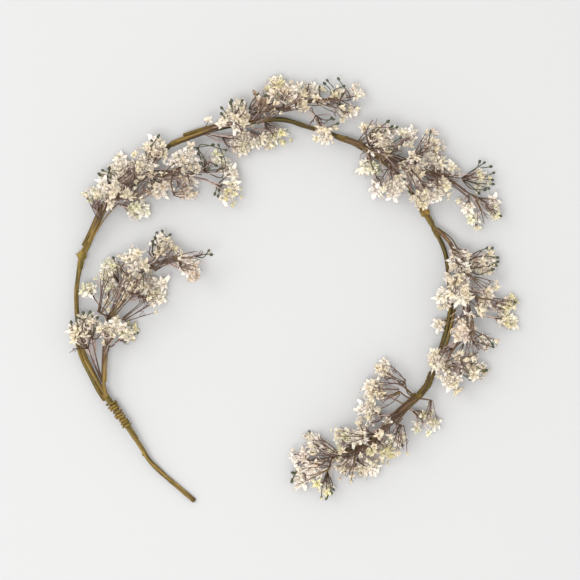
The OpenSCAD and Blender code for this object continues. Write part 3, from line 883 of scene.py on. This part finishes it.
PETAL = tinted("petal_film", 1.6, 0.015, 0.6, 0.15, translucent=0.6)
PETAL_HAZE = tinted("petal_haze", 1.2, 0.015, 0.6, 0.1, alpha=0.45)
CALYX_SKIN = tinted("calyx_skin", 2.0, 0.2, 0.55, 0.3)
TWIG_SKIN = tinted("twig_skin", 0.9, 0.28, 0.6, 0.4, (0.8, 1, 1))
STEM_SKIN = tinted("taped_stem", 1.1, 0.6, 0.62, 0.6, (0.16, 1.1, 1.1))
TAPE_SKIN = tinted("floral_tape", 1.0, 0.3, 0.7, 0.7, (1.4, 0.5, 0.5))
BUD_SKIN = tinted("bud_skin", 1.4, 0.25, 0.5, 0.3)

# ---------------------------------------------------------------- sprigs built
COVER_SHARE = 0.4
COVER_HALF_OPEN_SHARE = 0.3
COVER_SPREAD = 2.4


def cover_stalk(twigs, flowers, path, rng):
    """Short twigs up from the stalk, some with a blossom, so that it isn't bare between heads."""
    for i in range(len(path) // 4, len(path), 2):
        side = np.cross(unit(path[i] - path[i - 1]), UP)
        place = path[i] + UP * rng.uniform(1.8, 5) + side * rng.normal() * COVER_SPREAD
        twig(twigs, path[max(i - 4, 0)], place - UP * BEHIND_HEART, "cover", rng)
        if rng.random() < COVER_SHARE:
            axis = UP + side * rng.normal() * 0.5
            half = rng.random() < COVER_HALF_OPEN_SHARE
            add_floret(flowers, place, axis, TINTS["i"], rng, half)


for number, sprig in SPRIGS.items():
    pieces = twigs, flowers, buds = Piece(), Piece(), Piece()
    forks = [np.array(p, float) for p in sprig["forks"]]
    rng = np.random.default_rng(number)
    path = smooth(forks, 1.5)
    n = len(path)
    stalk_r = 0.26 + 0.85 * (1 - np.linspace(0, 1, n)) ** 3 + 0.03 * rng.normal(size=n)
    foot_tint = OLIVE * 0.8 if number < 4 else BROWN * 1.1
    tube(twigs, path, stalk_r, fade(foot_tint, MAUVE, n), 8)
    cover_stalk(twigs, flowers, path, rng)
    for index, (at, row) in enumerate(sprig["heads"]):
        head = Head(pieces, forks, sprig.get("first", 0), at, row, 100 * number + index)
        head.blossoms()
        head.low_blossoms()
        head.bare_twigs()
        head.closed_buds()
    for index, (at, *row) in enumerate(sprig["brushes"]):
        brush(twigs, flowers, forks[at], *row, np.random.default_rng(1000 * number + index))
    name, body = f"spray_{number}", sprig["body"]
    flower_skins = [PETAL, CALYX_SKIN, PETAL_HAZE]
    twigs.build(f"{name}_twig_work", [TWIG_SKIN], (f"{name}_stalk", f"{name}_twigs"), "twig", body)
    flowers.build(f"{name}_florets", flower_skins, (f"{name}_blossoms",), "blossom", body)
    buds.build(f"{name}_bud_tips", [BUD_SKIN], (f"{name}_buds",), "bud", body)

# ---------------------------------------------------------------- ring stem
TAIL_BEND = np.array([-85.6, -74.4, STEM_Z])
LEFT_BEND = np.array([-110.8, 17.5, STEM_Z])
RIGHT_BEND = np.array([71, 40.5, STEM_Z])
END_BEND = np.array([72.6, -51, STEM_Z])
# The cut end of the tail lies on the table and runs straight for its first stretch
TAIL_TIP = np.array([-60.5, -105, 1.25])
TIP_RUN = 12 * level(math.radians(-40.8))
# Spacing of the points along stems and along tape
STEM_STEP, TAPE_STEP = 0.9, 0.6


def flat_route(*points):
    return [np.array([x, y, STEM_Z]) for x, y in points]


TAIL = [
    TAIL_TIP + TIP_RUN,
    TAIL_TIP + 0.5 * TIP_RUN,
    TAIL_TIP,
    (-68.4, -98.1, 2.2),
    (-75.1, -91.3, 3.4),
    (-79.5, -84, 4.4),
    TAIL_BEND,
]
LEFT = [
    TAIL_BEND,
    *flat_route((-90.6, -67.4), (-95.5, -60.5), (-100, -54), (-104.7, -45)),
    *flat_route((-110, -33.7), (-113, -18), (-113.6, -1)),
    LEFT_BEND,
]
SHOULDER = [
    LEFT_BEND,
    *flat_route((-105.5, 27.4), (-99, 41.6), (-91.7, 51), (-83.2, 59.6), (-73.7, 68), (-63.6, 76.3)),
]
TOP = [
    *flat_route((-63.6, 76.3), (-53.5, 80.3), (-36.6, 85.3), (-21, 88.2), (-4.8, 89.5), (9, 85.6)),
    *flat_route((25, 80.3), (36, 75.5), (49.8, 66.5), (60.4, 56)),
    RIGHT_BEND,
]
RIGHT = [
    RIGHT_BEND,
    *flat_route((75.8, 32), (81.6, 19.3), (83.8, 4.5), (84.3, -12), (80, -30)),
    END_BEND,
]
END = [
    END_BEND,
    *flat_route((64.7, -60.2), (54.6, -69), (44.5, -77.6), (33, -84.5), (20.7, -88.2)),
]


def trimmed(path, start, end):
    """The stretch of path from start to end millimetres. End 0 or less counts from the far end."""
    s = lengths(path)
    end = s[-1] + end if end <= 0 else end
    inner = path[(s > start) & (s < end)]
    ends = [np.array([np.interp(d, s, path[:, k]) for k in range(3)]) for d in (start, end)]
    return np.vstack([ends[:1], inner, ends[1:]])


def rolling(n, window, rng):
    """Rolling mean of a normal draw for each of n points."""
    return np.convolve(rng.normal(size=n + window - 1), np.ones(window) / window, "valid")


def streaks(path, rng, base, other):
    """Colour along a stem that drifts between two tints."""
    drift = np.clip(rolling(len(path), 13, rng) * 1.4 + 0.4, 0, 1)[:, None]
    return base * (1 - drift) + other * drift


# Place of the tail's knob along Y, length of the tail's dark end, and unevenness of a stem
KNOB_Y = -88.8
CUT_END = 2.5
STEM_LUMP = 0.09


def stem(name, route, start, end, body, seed, shade):
    """Taped stem of the ring. The tail is dark at its cut end and has a knob on its side."""
    piece = Piece()
    rng = np.random.default_rng(seed)
    path = trimmed(smooth(route, STEM_STEP), start, end)
    lump = rolling(len(path), 5, rng) * STEM_LUMP
    tint = shade * streaks(path, rng, OLIVE, OLIVE_GREEN)
    if name == "tail_stem":
        tint = tint * (0.5 + 0.5 * np.clip(lengths(path) / CUT_END, 0, 1))[:, None]
        knob = path[np.argmin(np.abs(path[:, 1] - KNOB_Y))]
        knob_path = [knob, knob + [-1.1, 0.3, 0.2], knob + [-1.9, 0.6, 0.3]]
        tube(piece, knob_path, [1.0, 0.85, 0.5], OLIVE * 0.8, 10)
    tube(piece, path, STEM_R, tint, 24, ridges=0.05, lump=lump)
    piece.build(f"{name}_skin", [STEM_SKIN], (name,), "stem", body)


stem("tail_stem", TAIL, 0, -3, "tail", 1, 0.98)
stem("left_stem", LEFT, 2, -3, "left_arm", 2, 0.88)
stem("shoulder_stem", SHOULDER, 3, 0, "crown_top", 3, 0.7)
stem("top_stem", TOP, 0, -3, "crown_top", 4, 0.54)
stem("right_stem", RIGHT, 3, -3, "right_arm", 5, 0.62)
stem("end_stem", END, 3, 0, "end_arm", 6, 0.6)

# Second, thinner stems laid beside the ring's own
GAP = STEM_R + STRAND_R
for name, route, start, end, gap, body, seed in [
    ("left_second_stem", LEFT, 20, 56, -GAP, "left_arm", 11),
    ("shoulder_second_stem", SHOULDER, 5, 36, -GAP, "crown_top", 12),
    ("top_second_stem", TOP, 8, 44, -GAP, "crown_top", 13),
    ("right_second_stem", RIGHT, 54, 88, -GAP, "right_arm", 14),
    ("end_second_stem", END, 8, 26, GAP, "end_arm", 15),
]:
    piece = Piece()
    path = trimmed(smooth(route, STEM_STEP), start, end)
    path = path + gap * np.cross(frames(path)[0], UP)
    tint = streaks(path, np.random.default_rng(seed), OLIVE_GREEN, OLIVE)
    tube(piece, path, STRAND_R, tint, 12, ridges=0.05, ridge_count=2)
    piece.build(f"{name}_skin", [STEM_SKIN], (name,), "strand", body)


# ---------------------------------------------------------------- tape and wire
def wrapped(piece, path, radius, rng, shade, pitch=2.2, lift=0.14):
    """Tape wound round a path: its radius steps at each overlapping turn."""
    s = lengths(path)
    turn = (s / pitch + rng.uniform()) % 1
    ends = np.minimum(1, np.minimum(s, s[-1] - s) / 1.2) * 0.15 + 0.85
    radii = radius * ends * (1 + lift * (turn - 0.5))
    tint = shade * streaks(path, rng, OLIVE * 0.95, OLIVE_GREEN * 1.1)
    tube(piece, path, radii, tint, 18, ridges=0.035)


# A bend's cover reaches this far before and after the bend. HALF_BLEND is half the distance between
# two points either side of the bend, handed to the build with the bodies
COVER_BEFORE, COVER_AFTER = 7, 8
HALF_BLEND = 2.5


def bend_cover(name, before, after, bodies, seed, shade, radius, collar=0):
    """Wound tape over a bend: it turns smoothly from one arm to the next."""
    piece = Piece()
    rng = np.random.default_rng(seed)
    bend = np.asarray(after[0])
    before, after = smooth(before, TAPE_STEP), smooth(after, TAPE_STEP)
    a = trimmed(before, max(lengths(before)[-1] - COVER_BEFORE, 0), 0)
    b = trimmed(after, 0, COVER_AFTER)
    path = np.vstack([a, b[1:]])
    wrapped(piece, path, radius, rng, shade)
    if collar:
        middle = len(a) - 1
        band = path[middle - 3 : middle + 4]
        wrapped(piece, band, collar, rng, shade * 1.5, pitch=1.3, lift=0.3)
        wire = [bend - [1.2, 0.4, -0.6], bend + [-3.0, 0.9, 0.9]]
        tube(piece, wire, [0.5, 0.42], shade * OLIVE, 6)
    reach = unit(b[-1] - a[0]) * HALF_BLEND
    blend = (*bodies, (bend - reach) * MM, (bend + reach) * MM)
    piece.build(f"{name}_bend_tape", [TAPE_SKIN], (f"{name}_tape_joint",), "tape", blend=blend)


bend_cover("tail", TAIL, LEFT, ("tail", "left_arm"), 21, 1.0, 1.55)
bend_cover("left", LEFT, SHOULDER, ("left_arm", "crown_top"), 22, 1.0, 1.7, 2.5)
bend_cover("right", TOP, RIGHT, ("crown_top", "right_arm"), 23, 0.85, 1.6, 2.6)
bend_cover("end", RIGHT, END, ("right_arm", "end_arm"), 24, 0.5, 1.9)

for name, route, start, end, body, seed in [
    ("left_sprig_tape", LEFT, 17, 23, "left_arm", 31),
    ("top_tape_joint", TOP, 0, 8, "crown_top", 32),
    ("upper_right_tape", TOP, 91, 98, "crown_top", 33),
    ("right_sprig_tape", RIGHT, 9, 15, "right_arm", 34),
    ("end_sprig_tape", END, 6, 12, "end_arm", 35),
]:
    piece = Piece()
    path = trimmed(smooth(route, TAPE_STEP), start, end) + UP * 0.7
    wrapped(piece, path, 1.6, np.random.default_rng(seed), 0.85)
    piece.build(f"{name}_skin", [TAPE_SKIN], (name,), "tape", body)

# Bare wire wound round the foot of the first sprig. Its pitch and its distance drift a little
COIL_TURNS = 8.5
POINTS_A_TURN = 22
COIL_GAP = 0.62
WIRE_R = 0.66
coil = Piece()
rng = np.random.default_rng(41)
start = TAIL_BEND + 0.1 * (LEFT[2] - TAIL_BEND)
along = LEFT[2] - start
side = unit(np.cross(along, UP))
rise = np.cross(side, unit(along))
k = np.arange(int(COIL_TURNS * POINTS_A_TURN) + 1) / POINTS_A_TURN
drift = k / COIL_TURNS + 0.014 * np.sin(k * 2.3) + 0.01 * np.sin(k * 5.1 + 2)
radius = STEM_R + COIL_GAP + 0.16 * np.sin(k * 1.7 + 1) + 0.14 * np.sin(k * 4.3)
radius = radius + 0.5 * (k / COIL_TURNS) ** 2
helix = start + np.outer(drift, along) + np.outer(radius * np.cos(2 * math.pi * k), side)
helix = helix + np.outer(radius * np.sin(2 * math.pi * k), rise)
wire_tint = streaks(helix, rng, OLIVE * 0.9, OLIVE_GREEN)
tube(coil, helix, WIRE_R + 0.07 * np.sin(k * 9), wire_tint, 8)
coil.build("tail_binding_wire", [STEM_SKIN], ("tail_binding",), "binding", "left_arm")

# ---------------------------------------------------------------- stage, light and camera
FLOOR_HALF = 1.6
FLOOR_GREY = 0.392
SKY = (1.0, 0.995, 0.99, 1)
SKY_STRENGTH = 1.46
# Place and size in metres, power in watts
LIGHTS = {"key": ((-1.6, 0.65, 1.9), 1.3, 20), "overhead": ((-0.35, -0.4, 1.7), 0.8, 18)}
VIEW_HEIGHT = 1.3
VIEW_WIDTH = 0.3074
EYE_X, EYE_Y = -0.0005, -0.0008


def place_object(name, data):
    obj = bpy.data.objects.new(name, data)
    bpy.context.scene.collection.objects.link(obj)
    return obj


mesh = bpy.data.meshes.new("floor")
corners = [(x * FLOOR_HALF, y * FLOOR_HALF, 0) for x, y in [(-1, -1), (1, -1), (1, 1), (-1, 1)]]
mesh.from_pydata(corners, [], [(0, 1, 2, 3)])
paper, tree = new_material("floor_paper")
grey = (FLOOR_GREY, FLOOR_GREY, FLOOR_GREY, 1)
surface = new_node(tree, "BsdfPrincipled", Base_Color=grey, Roughness=0.9, Specular_IOR_Level=0.1)
tree.links.new(surface.outputs["BSDF"], new_node(tree, "OutputMaterial").inputs["Surface"])
mesh.materials.append(paper)
place_object("floor", mesh)

for name, (place, size, power) in LIGHTS.items():
    lamp = bpy.data.lights.new(name, "AREA")
    lamp.shape = "DISK"
    lamp.size = size
    lamp.energy = power
    obj = place_object(name, lamp)
    obj.location = place
    obj.rotation_euler = (-obj.location).to_track_quat("-Z", "Y").to_euler()

world = bpy.data.worlds.new("world")
world.use_nodes = True
world.node_tree.nodes["Background"].inputs["Color"].default_value = SKY
world.node_tree.nodes["Background"].inputs["Strength"].default_value = SKY_STRENGTH
bpy.context.scene.world = world
bpy.context.scene.view_settings.view_transform = "Standard"

camera = bpy.data.cameras.new("camera")
camera.sensor_width = 36
camera.lens = camera.sensor_width * (VIEW_HEIGHT - STEM_Z * MM) / VIEW_WIDTH
eye = place_object("camera", camera)
eye.location = (EYE_X, EYE_Y, VIEW_HEIGHT)
bpy.context.scene.camera = eye
